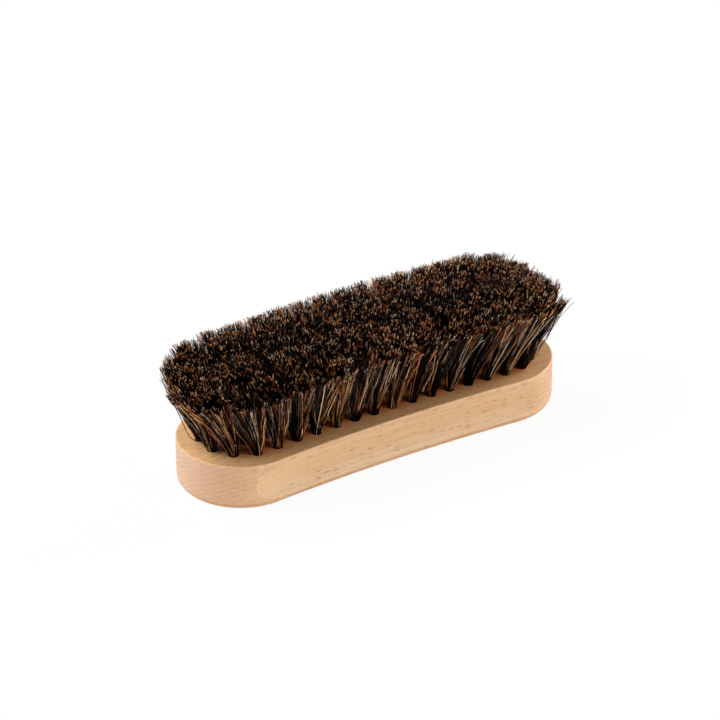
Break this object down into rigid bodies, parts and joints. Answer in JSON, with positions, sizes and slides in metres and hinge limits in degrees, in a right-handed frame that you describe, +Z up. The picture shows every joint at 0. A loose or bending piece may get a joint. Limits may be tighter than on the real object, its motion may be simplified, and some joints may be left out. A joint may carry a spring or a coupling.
{
  "type": "shoe shine brush",
  "caption": "Hand brush with a waisted wooden block, a shallow finger groove along each side, and long tufts of horsehair set in drilled holes.",
  "frame": {"origin": "middle of the block's flat back, on which the brush rests with its bristles up", "axes": "+X along the block, to the right-hand end in the picture; +Y across it, away from the side that the picture shows; +Z up, from the back to the bristle tips"},
  "size_m": [0.1844, 0.0626, 0.0577],
  "materials": {
    "beech": "sanded, lightly waxed",
    "hair": "natural dark horsehair, matt with fine highlights",
    "wire": "drawn wire"
  },
  "bodies": {
    "root": {"block": "beech", "front_outer_tufts": "hair", "back_outer_tufts": "hair", "left_end_tufts": "hair", "right_end_tufts": "hair", "front_inner_tufts": "hair", "back_inner_tufts": "hair", "left_lobe_tufts": "hair", "right_lobe_tufts": "hair", "outer_anchors": "wire", "inner_anchors": "wire"}
  },
  "joints": []
}
